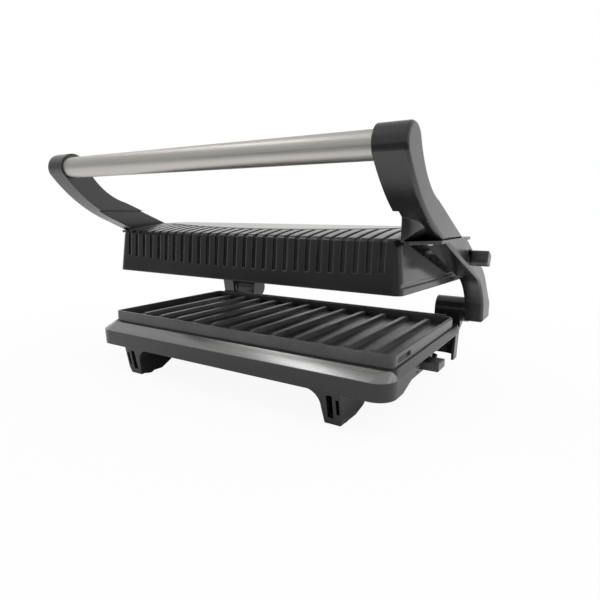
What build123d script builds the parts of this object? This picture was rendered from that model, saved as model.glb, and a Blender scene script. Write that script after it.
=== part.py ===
from build123d import *
import os
from math import atan2, cos, degrees, hypot, radians, sin

# Panini press, millimetres. +X right, +Y back, +Z up, table top at Z = 0. Drawn with the plates centred on
# X = Y = 0; every piece is then moved so that the origin lies under the middle of the whole press.

# Clearances
slip = 0.4
running_fit = 0.05
air = 0.3

# Cooking plates
plate_width = 232.0
plate_depth = 123.0
plate_corner = 4.0
plate_floor = 3.5
rim_top = 45.0
rim_depth = 5.5
rim_wall = 2.2
rib_pitch = 17.8
rib_side_margin = 16.0
rib_width = 3.2
rib_root = 4.6
rib_height = 3.2
rib_front_margin = 10.6
rib_back_margin = 2.0
drain_front = 7.0
drain_length = 20.0
drain_height = 3.0

# Base housing
base_wall = 2.6
rim_show = 7.4
band_drop = 4.6
band_front = 14.0
band_side = 3.5
band_back = 15.5
base_corner = 12.0
apron_z = 22.0
rear_apron_z = 13.0
apron_draft = 0.8
deck_thickness = 3.5
deck_ledge = 4.0
guard_rise = 0.6
guard_wall = 2.6
arch_front_margin = 20.5
arch_slope_run = 34.3
arch_back_margin = 20.2

# Moulded legs and rubber feet
leg_side_margin = 37.5
leg_width = 12.0
leg_toe_cut = 1.5
leg_sweep = 10.0
leg_lean = 4.5
leg_sole = 20.0
leg_heel_rise = 5.0
leg_wall = 2.4
foot_radius = 4.6
foot_height = 3.0
foot_proud = 1.5

# Bottom cover and drip tray
cover_thickness = 2.0
cover_over = 11.0
cover_side_gap = 6.5
tray_length = 67.0
tray_width = 58.0
tray_mid = -5.0
tray_height = 5.0
tray_wall = 1.6
rail_width = 3.0
grip_width = 14.0
grip_mid = -5.6
grip_rise = 8.1
grip_height = 5.2
grip_length = 14.0

# Hinge and lifting geometry
hinge_back = 36.5
hinge_rise = 0.5
hinge_pin_radius = 3.0
barrel_radius = 9.5
barrel_length = 21.0
barrel_gap = 0.5
pivot_shut_y = -3.8
pivot_height = 25.0
pivot_radius = 3.2
lift_angle = 17.0
lid_tilt = 1.9
shut_gap = 0.6

# Arms and handle
arm_gap = 2.0
arm_thickness = 14.0
nose_step = 3.0
nose_reach = 27.5
nose_lift = 44.8
nose_radius = 9.7
step_rise = 15.4
seam_rise = 7.73
flange_thickness = 1.8
cheek_back = 24.5
tube_radius = 7.0
tube_wall = 1.2
tube_seat = 3.0
tube_ahead = 1.6
arm_edge = 2.0
arm_web_gap = 2.9867
heel_drop = 7.6
heel_back = 16.2

# Lock slider
slider_back = 28.6
slider_drop = 7.07
slider_slope = 22.0
slider_travel = 8.0
knob_length = 10.0
knob_height = 8.8
knob_proud = 11.0
stem_length = 8.0
stem_height = 4.0
slot_depth = 6.5

# Lid
lid_front = 5.0
lid_back = 6.0
lid_side_draft = 3.0
lid_front_draft = 1.2
lid_base_gap = 1.2
lid_side_height = 30.1
crown_rise = 8.2
lid_crown_y = 1.0
lid_wall = 2.4
lid_corner = 5.0
lid_edge_radius = 4.0
groove_pitch = 8.0
groove_side_margin = 12.0
groove_width = 3.0
groove_depth = 1.6
groove_foot_side = 12.0
groove_foot_mid = 9.0
side_slot_low = 3.9
side_slot_height = 2.5
side_slot_depth = 1.4
panel_side_margin = 16.0
panel_front_margin = 21.5
panel_back_margin = 17.5
panel_bow = 17.0
panel_corner = 10.0
panel_thickness = 0.8
panel_proud = 0.3
light_radius = 2.6
light_pitch = 12.0
light_margin = 40.0

# Heaters and controls
element_radius = 2.8
element_side_margin = 28.0
element_front_margin = 27.5
element_bend = 18.0
element_tail = 22.0
sheet = 0.8
stud_inset_x = 28.0
stud_inset_y = 12.0
stud_radius = 4.5
stud_drop = 6.4
thermostat_radius = 8.0
thermostat_height = 5.0
fuse_radius = 2.0
fuse_length = 22.0
screw_radius = 1.5
screw_head = 2.9
screw_head_height = 1.6
gland_x = -40.0
gland_z = 24.0
gland_radius = 5.4
cord_bore = 3.6

# Plate and base places
rib_count = int((plate_width - 2 * rib_side_margin) / rib_pitch) + 1
plate_back_z = rim_top - rim_depth - plate_floor
deck_low = plate_back_z - deck_thickness
reflector_top = plate_back_z - stud_drop
band_top = rim_top - rim_show
crease_z = band_top - band_drop
guard_top = rim_top + guard_rise
base_front = -plate_depth / 2 - band_front
base_back = plate_depth / 2 + band_back
base_half_width = plate_width / 2 + band_side
arch_front = base_front + arch_front_margin
arch_crown = arch_front + arch_slope_run
arch_back = base_back - arch_back_margin
leg_inner = plate_width / 2 - leg_side_margin
leg_outer = leg_inner + leg_width
leg_toe = leg_outer - leg_toe_cut
cover_top = apron_z - 0.5
cover_span = 2 * (leg_inner - leg_sweep) - 7.0
cover_depth = plate_depth + cover_over
cover_wing = 2 * (base_half_width - cover_side_gap)
cover_wing_depth = 2 * (abs(tray_mid) + tray_width / 2 + slip + rail_width + tray_wall)
tray_outer_end = cover_wing / 2
tray_inner_end = tray_outer_end - tray_length
grip_top = cover_top + grip_rise
grip_end = tray_outer_end + grip_length
element_half_length = plate_width / 2 - element_side_margin
element_half_depth = plate_depth / 2 - element_front_margin
stud_x = element_half_length - stud_inset_x
stud_y = element_half_depth - stud_inset_y

# Lid places, with the lid shut and level
lid_half_width = plate_width / 2
lid_low = rim_top + lid_base_gap
lid_front_y = -plate_depth / 2 - lid_front
lid_back_y = plate_depth / 2 + lid_back
lid_edge_z = lid_low + lid_side_height
lid_crown_z = lid_edge_z + crown_rise
groove_half_count = int((lid_half_width - groove_side_margin) / groove_pitch)
panel_half_width = lid_half_width - panel_side_margin
panel_front = lid_front_y + panel_front_margin
panel_back = lid_back_y - panel_back_margin
light_y = panel_back - light_pitch
upper_rim_z = rim_top + shut_gap
upper_back_z = upper_rim_z + rim_depth + plate_floor
upper_reflector_low = upper_back_z + stud_drop
crown_radius = ((lid_crown_y - lid_front_y) ** 2 / crown_rise + crown_rise) / 2

# Hinge, pivot and arm places, with the lid lifted
hinge_y = plate_depth / 2 + hinge_back
hinge_z = rim_top + hinge_rise
pivot_shut_z = upper_rim_z + pivot_height
pivot_reach = hypot(hinge_y - pivot_shut_y, pivot_shut_z - hinge_z)
pivot_angle = degrees(atan2(pivot_shut_z - hinge_z, hinge_y - pivot_shut_y)) + lift_angle
pivot_y = hinge_y - pivot_reach * cos(radians(pivot_angle))
pivot_z = hinge_z + pivot_reach * sin(radians(pivot_angle))
arm_inner = lid_half_width + arm_gap
arm_outer = arm_inner + arm_thickness
nose_inner = arm_inner - nose_step
barrel_outer = nose_inner - barrel_gap
barrel_inner = barrel_outer - barrel_length
seam_z = pivot_z + seam_rise
seam_low = seam_z - flange_thickness
step_z = seam_z + step_rise
nose_y = -plate_depth / 2 - nose_reach
nose_z = seam_z + nose_lift
cheek_front = nose_y + cheek_back
tube_y = nose_y - tube_ahead
tube_z = nose_z
slider_y = pivot_y + slider_back
slider_z = pivot_z - slider_drop
slot_floor = arm_outer - slot_depth
knob_end = arm_outer + knob_proud
origin_x = (knob_end - arm_outer) / 2
origin_y = (hinge_y + heel_back + nose_y - nose_radius) / 2
far = 400.0


# Shape helpers
def block(x_low, x_high, y_low, y_high, z_low, z_high):
    size = Box(x_high - x_low, y_high - y_low, z_high - z_low)
    return Pos((x_low + x_high) / 2, (y_low + y_high) / 2, (z_low + z_high) / 2) * size


def slab(width, depth, corner, z_low, z_high, y_mid=0.0):
    outline = Pos(0, y_mid, z_low) * RectangleRounded(width, depth, corner)
    return extrude(outline, z_high - z_low, dir=(0, 0, 1))


def across(profile, x_low, x_high):
    """Side profile drawn as (y, z), run from x_low to x_high."""
    return extrude(Plane.YZ.offset(x_low) * profile, x_high - x_low, dir=(1, 0, 0))


def along(profile, y_low, y_high):
    """Front profile drawn as (x, z), run from y_low to y_high."""
    front_plane = Plane(origin=(0, y_low, 0), x_dir=(1, 0, 0), z_dir=(0, -1, 0))
    return extrude(front_plane * profile, y_high - y_low, dir=(0, 1, 0))


def pin_x(radius, y, z, x_low, x_high):
    return across(Pos(y, z) * Circle(radius), x_low, x_high)


def post(radius, x, y, z_low, z_high):
    return extrude(Pos(x, y, z_low) * Circle(radius), z_high - z_low, dir=(0, 0, 1))


def outline(*edges):
    return make_face(edges)


def polygon(*points):
    return make_face(Polyline(*points, close=True))


def left_of(piece):
    return mirror(piece, about=Plane.YZ)


def corners(x, y):
    return [(sx * x, sy * y) for sx in (-1, 1) for sy in (-1, 1)]


def bolt(radius, sides, x, y, z_low, z_high):
    return extrude(Pos(x, y, z_low) * RegularPolygon(radius, sides), z_high - z_low, dir=(0, 0, 1))


def screw(x, y, head_z, tip_z, round_head=False):
    """Screw whose head stands on the far side of head_z from the tip; hidden ones have a hexagon head."""
    up = 1 if tip_z < head_z else -1
    head_low = min(head_z, head_z + up * screw_head_height)
    head_high = head_low + screw_head_height
    shank = bolt(screw_radius, 8, x, y, min(head_z, tip_z), max(head_z, tip_z))
    if round_head:
        return shank + post(screw_head, x, y, head_low, head_high)
    return shank + bolt(screw_head, 6, x, y, head_low, head_high)


# Cooking plate with the food side up and the rim top at Z = 0
def grill_plate(width):
    height = rim_depth + plate_floor
    body = slab(width, plate_depth, plate_corner, -height, 0)
    basin = slab(width - 2 * rim_wall, plate_depth - 2 * rim_wall, plate_corner - rim_wall, -rim_depth, 1)
    body = body - basin
    body = chamfer(body.faces().sort_by(Axis.Z)[-1].edges(), 0.5)
    front = -plate_depth / 2 + rim_wall + rib_front_margin
    back = plate_depth / 2 - rim_wall - rib_back_margin
    rib_shape = polygon((-rib_root / 2, -rim_depth), (rib_root / 2, -rim_depth),
                        (rib_width / 2, rib_height - rim_depth), (-rib_width / 2, rib_height - rim_depth))
    rib = along(rib_shape, front, back)
    rib = chamfer(rib.faces().sort_by(Axis.Z)[-1].edges().filter_by(Axis.X), rib_height * 0.45)
    first = -(rib_count - 1) * rib_pitch / 2
    return body + [Pos(first + i * rib_pitch, 0, 0) * rib for i in range(rib_count)]


def studs(z_low, z_high):
    return [post(stud_radius, x, y, z_low, z_high) for x, y in corners(stud_x, stud_y)]


def stud_holes(z_low, z_high):
    return [post(screw_radius, x, y, z_low, z_high) for x, y in corners(stud_x, stud_y)]


lower_grill_plate = Pos(0, 0, rim_top) * grill_plate(plate_width)
lower_grill_plate = lower_grill_plate + studs(reflector_top, plate_back_z)
lower_grill_plate = lower_grill_plate - stud_holes(reflector_top - 1, plate_back_z)
drain_y = -plate_depth / 2 + drain_front
drain_z = rim_top - rim_depth
drain = block(plate_width / 2 - rim_wall - 1, plate_width / 2 + 1, drain_y, drain_y + drain_length,
              drain_z, drain_z + drain_height)
lower_grill_plate = lower_grill_plate - drain
plate_screw_x = plate_width / 2 - 11.0
plate_screw_y = plate_depth / 2 - 11.0
plate_screw_tip = plate_back_z + plate_floor - 0.8
lower_grill_plate = lower_grill_plate - [post(screw_radius, x, y, plate_back_z - 1, plate_screw_tip)
                                         for x, y in corners(plate_screw_x, plate_screw_y)]


# Heating parts, shared by both plates: drawn for a plate whose back faces down at back_z
def heating_element(back_z):
    z = back_z - element_radius - air / 2
    path = FilletPolyline((-element_tail, element_half_depth, z),
                          (-element_half_length, element_half_depth, z),
                          (-element_half_length, -element_half_depth, z),
                          (element_half_length, -element_half_depth, z),
                          (element_half_length, element_half_depth, z),
                          (element_tail, element_half_depth, z), radius=element_bend)
    tube = sweep(Plane(origin=path @ 0, z_dir=path % 0) * RegularPolygon(element_radius, 8), path)
    for side in (-1, 1):
        terminal = pin_x(1.3, element_half_depth, z, -8.0, 0.0) if side < 0 else \
            pin_x(1.3, element_half_depth, z, 0.0, 8.0)
        tube = tube + Pos(side * (element_tail - 8.0), 0, 0) * terminal
    return tube


def thermostat(back_z):
    case = post(thermostat_radius, 0, 0, back_z - thermostat_height, back_z)
    flange = post(thermostat_radius + 2.5, 0, 0, back_z - 1.0, back_z)
    tabs = [Pos(side * 4.0, 0, back_z - thermostat_height - 0.4) * Box(3.2, 6.3, 0.8) for side in (-1, 1)]
    return case + flange + tabs


def heat_reflector(top_z):
    pan = slab(plate_width - 42.0, plate_depth - 18.0, 10.0, top_z - sheet, top_z)
    return pan - stud_holes(top_z - 2, top_z + 1)


lower_heating_element = heating_element(plate_back_z)
lower_thermostat = thermostat(plate_back_z)
lower_heat_reflector = heat_reflector(reflector_top)
lower_reflector_screws = Compound([screw(x, y, reflector_top - sheet, plate_back_z)
                                   for x, y in corners(stud_x, stud_y)])
lower_plate_screws = Compound([screw(x, y, deck_low, plate_screw_tip)
                               for x, y in corners(plate_screw_x, plate_screw_y)])
fuse_y = -thermostat_radius - 6.0
fuse_z = plate_back_z - fuse_radius - air / 2
thermal_fuse = pin_x(fuse_radius, fuse_y, fuse_z, -fuse_length / 2, fuse_length / 2)
thermal_fuse = thermal_fuse + pin_x(0.6, fuse_y, fuse_z, -fuse_length / 2 - 9.0, fuse_length / 2 + 9.0)


# Base housing: sloped band above the crease, drafted apron below, plate deck, legs and hinge barrels
def base_outline(z, front, back, side, corner):
    depth = back - front
    return Pos(0, (front + back) / 2, z) * RectangleRounded(2 * side, depth, corner)


def base_leg():
    top = apron_z + 3.0
    sole = foot_proud
    shape = outline(
        Line((leg_inner - 2 * leg_sweep, top), (leg_inner - leg_sweep - 1.5, apron_z)),
        ThreePointArc((leg_inner - leg_sweep - 1.5, apron_z),
                      (leg_inner - 0.3 * leg_sweep - 1.5, apron_z - 0.3 * leg_sweep),
                      (leg_inner - 1.5, apron_z - leg_sweep)),
        Line((leg_inner - 1.5, apron_z - leg_sweep), (leg_inner, sole)),
        Line((leg_inner, sole), (leg_toe, sole)),
        Line((leg_toe, sole), (leg_outer, sole + 4.0)),
        Line((leg_outer, sole + 4.0), (leg_outer, top)),
        Line((leg_outer, top), (leg_inner - 2 * leg_sweep, top)))
    front_top = base_front + apron_draft
    toe = front_top + leg_lean
    heel = -cover_wing_depth / 2 - 1.0
    side_shape = polygon((front_top, top), (front_top + 0.3, apron_z), (toe, sole), (toe + leg_sole, sole),
                         (heel - 1.0, sole + leg_heel_rise), (heel, top))
    leg = along(shape, front_top, heel) & across(side_shape, 0, far)
    pocket = block(leg_inner + leg_wall, leg_outer - leg_wall, toe + leg_wall, heel - leg_wall - 1.0,
                   sole + leg_heel_rise, top + 1)
    slot_front = front_top - 1
    slot_back = toe + leg_wall + 1.0
    leg = leg - pocket
    leg = leg - block(leg_inner + leg_wall, leg_inner + 6.4, slot_front, slot_back, sole + 4, apron_z - 2)
    return leg - block(leg_inner + 8.4, leg_outer - leg_wall + 1.0, slot_front, slot_back,
                       sole + 7, apron_z - 4)


foot_x = (leg_inner + leg_toe) / 2
foot_y = base_front + apron_draft + leg_lean + leg_sole / 2
rear_shift = base_back + base_front


def at_four_corners(piece):
    rear = Pos(0, rear_shift, 0) * mirror(piece, about=Plane.XZ)
    return [piece, left_of(piece), rear, left_of(rear)]


def hinge_barrel():
    post_front = hinge_y - barrel_radius
    bracket = polygon((base_back - 4, rear_apron_z + 8), (base_back - 4, crease_z - 0.5),
                      (post_front, crease_z - 0.5), (post_front, hinge_z), (hinge_y + barrel_radius, hinge_z),
                      (hinge_y + barrel_radius * 0.6, hinge_z - barrel_radius * 0.8))
    lug = across(bracket, barrel_inner, barrel_outer)
    return lug + pin_x(barrel_radius, hinge_y, hinge_z, barrel_inner, barrel_outer)


def base_shell():
    crease = base_outline(crease_z, base_front, base_back, base_half_width, base_corner)
    band = base_outline(band_top, -plate_depth / 2 - slip - 0.8, base_back - 2, plate_width / 2 + slip + 0.7,
                        plate_corner + 1.5)
    hem = base_outline(rear_apron_z, base_front + apron_draft, base_back - apron_draft,
                       base_half_width - apron_draft, base_corner - apron_draft)
    body = loft([hem, crease], ruled=True) + loft([crease, band], ruled=True)
    front_cut = block(-far, far, -far, arch_back, -far, apron_z)
    body = body - front_cut
    cavity_corner = base_corner - base_wall
    cavity = base_outline(-1, base_front + base_wall, base_back - base_wall, base_half_width - base_wall,
                          cavity_corner)
    body = body - extrude(cavity, deck_low + 1, dir=(0, 0, 1))
    body = body - slab(plate_width + 2 * slip, plate_depth + 2 * slip, plate_corner,
                       plate_back_z, band_top + 1)
    body = body - slab(plate_width - 2 * deck_ledge, plate_depth - 2 * deck_ledge, plate_corner - 2,
                       deck_low - 1, plate_back_z + 1)
    return body


cover_post_x = cover_span / 2 - 5.0
cover_posts = [(x, side) for x in (-cover_post_x, 0.0, cover_post_x) for side in (-1, 1)]
cover_post_y = plate_depth / 2 - 0.5
base_housing = base_shell()
base_housing = base_housing + at_four_corners(base_leg())
base_housing = base_housing + [hinge_barrel(), left_of(hinge_barrel())]
base_housing = base_housing + [post(4.2, x, side * cover_post_y, cover_top, deck_low + 1)
                               for x, side in cover_posts]
screw_tabs = [post(9.5, x, y, deck_low, plate_back_z) for x, y in corners(plate_screw_x, plate_screw_y)]
base_housing = base_housing + screw_tabs
guard_y = plate_depth / 2 + slip + air
base_housing = base_housing + block(-plate_width / 2 + 6, plate_width / 2 - 6, guard_y, guard_y + guard_wall,
                                    plate_back_z, guard_top)
arch = polygon((arch_front, -1), (arch_front, apron_z - 0.5), (arch_crown, deck_low - 0.1),
               (arch_back, deck_low - 0.1), (arch_back, -1))
base_housing = base_housing - across(arch, base_half_width - 12, far)
hinge_bore = pin_x(hinge_pin_radius + running_fit, hinge_y, hinge_z, barrel_inner + 6, far)
base_housing = base_housing - [hinge_bore, left_of(hinge_bore)]
base_housing = base_housing - [post(screw_radius, x, y, deck_low - 1, plate_back_z + 1)
                               for x, y in corners(plate_screw_x, plate_screw_y)]
base_housing = base_housing - [post(screw_radius, x, side * cover_post_y, cover_top - 1, deck_low - 2)
                               for x, side in cover_posts]
base_housing = base_housing - at_four_corners(post(foot_radius, foot_x, foot_y, -1, foot_height))
gland_hole = along(Pos(gland_x, gland_z) * Circle(gland_radius), base_back - base_wall - 3, base_back + 3)
base_housing = base_housing - gland_hole

foot = post(foot_radius, foot_x, foot_y, 0, foot_height)
foot = chamfer(foot.edges().sort_by(Axis.Z)[0], 0.6)
foot_pads = Compound(at_four_corners(foot))


# Bottom cover, its screws, drip tray, cord inlet and terminal block
def bottom_cover():
    low = cover_top - cover_thickness
    panel = slab(cover_span, cover_depth, 6.0, low, cover_top)
    panel = panel + slab(cover_wing, cover_wing_depth, 6.0, low, cover_top)
    for side in (-1, 1):
        rail_y = tray_mid + side * (tray_width / 2 + slip + rail_width / 2)
        panel = panel + block(tray_inner_end, cover_wing / 2 - 4, rail_y - rail_width / 2,
                              rail_y + rail_width / 2, cover_top, cover_top + 4)
    panel = panel - [Pos(-50.0 + 10.0 * i, 0, low) * Box(3.0, 34.0, 3 * cover_thickness) for i in range(9)]
    return panel - [post(screw_radius, x, side * cover_post_y, low - 1, cover_top + 1)
                    for x, side in cover_posts]


def drip_tray():
    low = cover_top + air
    tray_low = tray_mid - tray_width / 2
    tray_high = tray_mid + tray_width / 2
    pan = block(tray_inner_end, tray_outer_end, tray_low, tray_high, low, low + tray_height)
    pan = fillet(pan.edges().filter_by(Axis.Z), 4.0)
    hollow = block(tray_inner_end + tray_wall, tray_outer_end - tray_wall, tray_low + tray_wall,
                   tray_high - tray_wall, low + tray_wall, low + tray_height + 1)
    pan = pan - fillet(hollow.edges().filter_by(Axis.Z), 4.0 - tray_wall)
    riser = block(tray_outer_end - tray_wall, tray_outer_end + 1.0, grip_mid - grip_width / 2,
                  grip_mid + grip_width / 2, low, grip_top)
    grip = block(tray_outer_end, grip_end, grip_mid - grip_width / 2, grip_mid + grip_width / 2,
                 grip_top - grip_height, grip_top)
    grip = fillet(grip.faces().sort_by(Axis.X)[-1].edges(), 0.8)
    return pan + riser + grip


def cord_gland():
    inner = base_back - base_wall - 2.0
    body = along(Pos(gland_x, gland_z) * Circle(gland_radius), inner, base_back + 2.5)
    collar = along(Pos(gland_x, gland_z) * Circle(gland_radius + 2.5), base_back, base_back + 2.5)
    nut = along(Pos(gland_x, gland_z) * RegularPolygon(gland_radius + 2.5, 6), inner, base_back - base_wall)
    return body + collar + nut - along(Pos(gland_x, gland_z) * Circle(cord_bore), inner - 1, base_back + 4)


def terminal_block():
    mid_x = gland_x + 2.0
    mid_y = cover_post_y - 18.0
    body = block(mid_x - 14.0, mid_x + 14.0, mid_y - 7.0, mid_y + 7.0, cover_top, cover_top + 6.5)
    body = chamfer(body.edges().filter_by(Axis.X).group_by(Axis.Z)[-1], 1.5)
    wells_x = [mid_x + 8.0 * i for i in (-1, 0, 1)]
    wells = [post(2.4, x, mid_y, cover_top + 3.0, cover_top + 10.0) for x in wells_x]
    return body - wells


base_bottom_cover = bottom_cover()
cover_screws = Compound([screw(x, side * cover_post_y, cover_top - cover_thickness, deck_low - 2.5, True)
                         for x, side in cover_posts])


# Hinge pins and the two-piece arms, drawn on the right in the lifted pose
def hinge_pin():
    pin = pin_x(hinge_pin_radius, hinge_y, hinge_z, barrel_inner + 7, arm_outer - 2.5)
    return chamfer(pin.edges().filter_by(GeomType.CIRCLE), 0.5)


def latch_cheek():
    """Wedge under the right handle arm; its inner side stands upright at cheek_front."""
    inner = polygon((cheek_front, step_z - 1.0), (cheek_front, seam_z), (nose_y + 60.0, seam_z),
                    (nose_y + 39.0, seam_z + 11.0))
    outer = polygon((nose_y + 27.6, seam_z + 10.7), (nose_y + 52.0, seam_z), (nose_y + 60.0, seam_z),
                    (nose_y + 39.0, seam_z + 11.0))
    return loft([Plane.YZ.offset(arm_inner) * inner, Plane.YZ.offset(arm_outer - arm_edge) * outer],
                ruled=True)


def handle_arm(with_cheek):
    front_angle = radians(205.0)
    front = (nose_y + nose_radius * cos(front_angle), nose_z + nose_radius * sin(front_angle))
    back_angle = radians(27.0)
    back = (nose_y + nose_radius * cos(back_angle), nose_z + nose_radius * sin(back_angle))
    crest = (nose_y, nose_z + nose_radius)
    elbow = (nose_y + 42.0, nose_z - 23.0)
    shin = (nose_y + 35.7, nose_z - 37.4)
    seam_front = (nose_y + 52.6, seam_z)
    seam_back = (pivot_y + 1.6, seam_z)
    shape = outline(ThreePointArc(front, crest, back),
                    ThreePointArc(back, (nose_y + 18.5, nose_z - 9.8), elbow),
                    Line(elbow, seam_back), Line(seam_back, seam_front), Line(seam_front, shin),
                    ThreePointArc(shin, (nose_y + 10.8, nose_z - 23.4), front))
    arm = across(shape, nose_inner, arm_outer)
    arm = fillet(arm.faces().sort_by(Axis.X)[-1].edges(), arm_edge)
    arm = arm - block(nose_inner - 1, arm_inner, -far, far, 0, step_z)
    if with_cheek:
        arm = arm + latch_cheek()
    arm = arm - pin_x(tube_radius, tube_y, tube_z, nose_inner - 1, nose_inner + tube_seat)
    return arm - post(screw_radius, arm_screw_x, arm_screw_y, seam_z - 1, seam_z + 9)


arm_screw_x = arm_inner + 4.0
arm_screw_y = nose_y + 58.0
slide_plane = Plane(origin=(slot_floor, slider_y, slider_z),
                    x_dir=(0, cos(radians(slider_slope)), -sin(radians(slider_slope))), z_dir=(1, 0, 0))


def slide_bar(length, height, x_low, x_high, shift=0.0):
    """Bar lying along the arm at the slider, from x_low to x_high."""
    bar = Pos(shift, 0) * RectangleRounded(length, height, height * 0.2)
    return extrude(slide_plane.offset(x_low - slot_floor) * bar, x_high - x_low, dir=(1, 0, 0))


def hinge_arm(with_slot):
    def at(y, z):
        return hinge_y + y, hinge_z + z

    knee = at(-43.6, 31.6)
    back_top = at(-25.8, 37.6)
    heel_front = at(-10.6, -heel_drop)
    heel_rear = at(9.4, -heel_drop)
    heel_tip = at(heel_back, -2.4)
    front_low = (arm_screw_y + arm_web_gap, seam_low)
    back_low = (pivot_y + 14.0, seam_low)
    shape = outline(
        Line(front_low, knee), ThreePointArc(knee, at(-24.6, 21.5), at(-13.3, 7.5)),
        Line(at(-13.3, 7.5), heel_front), Line(heel_front, heel_rear),
        ThreePointArc(heel_rear, at(heel_back - 2.2, -5.9), heel_tip),
        Line(heel_tip, at(14.5, 4.3)), Line(at(14.5, 4.3), at(-5.5, 22.9)),
        ThreePointArc(at(-5.5, 22.9), at(-14.5, 31.0), back_top), Line(back_top, back_low),
        Line(back_low, front_low))
    arm = across(shape, arm_inner, arm_outer)
    outer_edges = arm.faces().sort_by(Axis.X)[-1].edges().filter_by(lambda e: e.center().Z < seam_low - 0.1)
    arm = fillet(outer_edges, arm_edge)
    flange_front = pivot_y - 47.0
    flange_back = pivot_y + 19.6
    flange_tip = cheek_front if with_slot else flange_front
    flange = polygon((arm_inner, flange_tip), (arm_outer, flange_front), (arm_outer, flange_back),
                     (arm_inner, flange_back))
    flange = extrude(Pos(0, 0, seam_low) * flange, flange_thickness, dir=(0, 0, 1))
    flange = fillet(flange.edges().filter_by(Axis.Z), 1.5)
    arm = arm + flange + pin_x(barrel_radius + 1.0, hinge_y, hinge_z, nose_inner, arm_inner + 1)
    arm = arm - pin_x(hinge_pin_radius + running_fit, hinge_y, hinge_z, nose_inner - 1, arm_outer - 2)
    arm = arm - pin_x(pivot_radius + running_fit, pivot_y, pivot_z, arm_inner - 1, arm_outer - 3.5)
    arm = arm - post(screw_radius + 0.1, arm_screw_x, arm_screw_y, seam_low - 1, seam_z + 1)
    arm = arm - block(arm_outer - 4, arm_outer + 1, hinge_y + 11.5, hinge_y + 20,
                      hinge_z - 5.0, hinge_z + 5.0)
    if with_slot:
        slot_length = stem_length + slider_travel + 4 * slip
        slot_height = stem_height + 2 * slip
        arm = arm - slide_bar(slot_length, slot_height, slot_floor, arm_outer + 1, -slider_travel / 2)
    return arm


def lock_slider():
    knob = slide_bar(knob_length, knob_height, arm_outer + air, knob_end)
    knob = fillet(knob.faces().sort_by(Axis.X)[-1].edges(), 0.8)
    return knob + slide_bar(stem_length, stem_height, slot_floor + air, arm_outer + 1)


def arm_screw():
    return screw(arm_screw_x, arm_screw_y, seam_low, seam_z + 8, True)


tube_half = nose_inner + tube_seat
handle_tube = pin_x(tube_radius, tube_y, tube_z, -tube_half, tube_half)
handle_tube = handle_tube - pin_x(tube_radius - tube_wall, tube_y, tube_z, -tube_half - 1, tube_half + 1)


# Lid, drawn shut and level, then lifted on its pivots
def lid_form(inset, z_low):
    low = base_outline(lid_low, lid_front_y + inset, lid_back_y - inset, lid_half_width - inset,
                       lid_corner - inset)
    rise = lid_crown_z + 10.0 - lid_low
    share = rise / (lid_edge_z - lid_low)
    high = base_outline(lid_low + rise, lid_front_y + inset + lid_front_draft * share,
                        lid_back_y - inset - lid_front_draft * share,
                        lid_half_width - inset - lid_side_draft * share, lid_corner - inset)
    body = loft([low, high], ruled=True)
    crown = pin_x(crown_radius - inset, lid_crown_y, lid_crown_z - crown_radius, -far, far)
    body = body & crown
    if z_low < lid_low:
        body = body + extrude(low, z_low - lid_low, dir=(0, 0, 1))
    return body


def lid_side_profile(inset):
    share = (lid_edge_z + 8 - lid_low) / (lid_edge_z - lid_low)
    walls = polygon((lid_front_y + inset, lid_low), (lid_back_y - inset, lid_low),
                    (lid_back_y - inset - lid_front_draft * share, lid_edge_z + 8),
                    (lid_front_y + inset + lid_front_draft * share, lid_edge_z + 8))
    face = walls & Pos(lid_crown_y, lid_crown_z - crown_radius) * Circle(crown_radius - inset)
    return fillet(face.vertices().group_by(Axis.Y)[-1], max(lid_edge_radius - inset, 1.0))


def groove_cutters():
    skin = lid_side_profile(-3.0) - lid_side_profile(groove_depth)
    cutters = []
    for i in range(-groove_half_count, groove_half_count + 1):
        x = i * groove_pitch
        sideways = (i / groove_half_count) ** 2
        foot_z = lid_low + groove_foot_mid + (groove_foot_side - groove_foot_mid) * sideways
        panel_y = panel_front + panel_bow * (x / panel_half_width) ** 2
        window = polygon((lid_front_y - 9, foot_z), (panel_y, foot_z), (panel_y, lid_crown_z + 9),
                         (lid_front_y - 9, lid_crown_z + 9))
        cutters.append(across(skin & window, x - groove_width / 2, x + groove_width / 2))
    return cutters


def panel_outline(gap):
    half = panel_half_width + gap
    front_side = panel_front + panel_bow - gap
    face = outline(ThreePointArc((-half, front_side), (0, panel_front - gap), (half, front_side)),
                   Line((half, front_side), (half, panel_back + gap)),
                   Line((half, panel_back + gap), (-half, panel_back + gap)),
                   Line((-half, panel_back + gap), (-half, front_side)))
    face = fillet(face.vertices(), panel_corner + gap)
    return extrude(Pos(0, 0, lid_edge_z) * face, 20.0, dir=(0, 0, 1))


def crown_sheet(low, high):
    centre_z = lid_crown_z - crown_radius
    ring = Circle(crown_radius + high) - Circle(crown_radius + low)
    return across(Pos(lid_crown_y, centre_z) * ring, -far / 2, far / 2)


lights_x = (panel_half_width - light_margin - light_pitch, panel_half_width - light_margin)
roof_low = lid_crown_z - 12.0


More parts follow.
